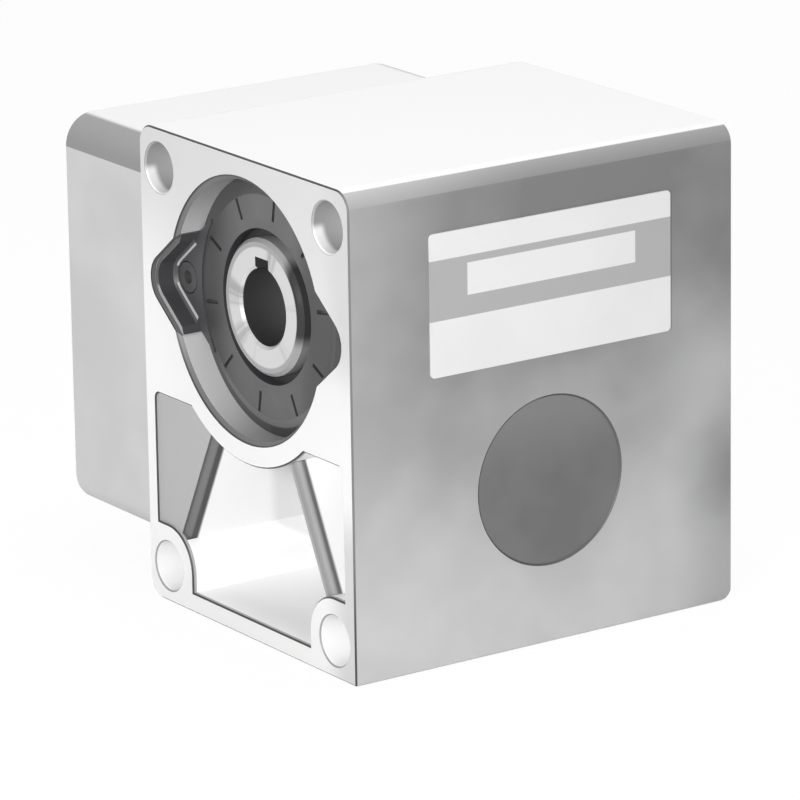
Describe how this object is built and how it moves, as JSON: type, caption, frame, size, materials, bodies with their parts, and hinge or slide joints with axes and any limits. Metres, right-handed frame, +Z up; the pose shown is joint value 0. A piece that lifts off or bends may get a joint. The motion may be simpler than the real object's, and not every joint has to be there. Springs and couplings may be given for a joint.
{
  "type": "hollow shaft right-angle gearhead",
  "caption": "Right-angle worm gearhead: cast case with a square motor flange at one side and a keyed hollow output shaft across it, with a flat face and holes for mounting.",
  "frame": {"origin": "middle of the hollow shaft's bore, on its axis and in the worm's plane", "axes": "+Y along the hollow shaft from the mounting face to the rear, +X away from the motor, +Z up"},
  "size_m": [0.1212, 0.0994, 0.107],
  "materials": {
    "cast_aluminium": "satin die casting, machined mounting face",
    "black_paint": "satin black paint",
    "machined_steel": "turned and ground steel",
    "bronze": "machined bronze",
    "black_rubber": "matt rubber",
    "plate_foil": "printed plate with plain bands"
  },
  "bodies": {
    "case": {"gear_case": "cast_aluminium", "front_bearing_cover": "black_paint", "front_cover_screws": "machined_steel", "front_oil_seal": "black_rubber", "front_bearing_outer": "machined_steel", "rear_oil_seal": "black_rubber", "rear_bearing_outer": "machined_steel", "end_bearing_outer": "machined_steel", "input_bearing_outer": "machined_steel", "end_bearing_circlip": "machined_steel", "end_cap": "black_rubber", "rating_plate": "plate_foil"},
    "output_shaft": {"hollow_shaft": "machined_steel", "worm_wheel": "bronze", "wheel_key": "machined_steel", "wheel_circlip": "machined_steel", "front_bearing_inner": "machined_steel", "rear_bearing_inner": "machined_steel"},
    "worm": {"worm_shaft": "machined_steel", "gear_key": "machined_steel", "input_gear": "machined_steel", "gear_circlip": "machined_steel", "end_bearing_inner": "machined_steel", "input_bearing_inner": "machined_steel"}
  },
  "joints": [
    {"name": "output_spin", "type": "hinge", "parent": "case", "child": "output_shaft", "pos_m": [0, 0, 0], "axis": [0, 1, 0], "continuous": true},
    {"name": "worm_spin", "type": "hinge", "parent": "case", "child": "worm", "pos_m": [0, 0, -0.037], "axis": [1, 0, 0], "continuous": true}
  ],
  "couplings": [
    {"joint": "worm_spin", "follows": "output_spin", "ratio": 15}
  ]
}
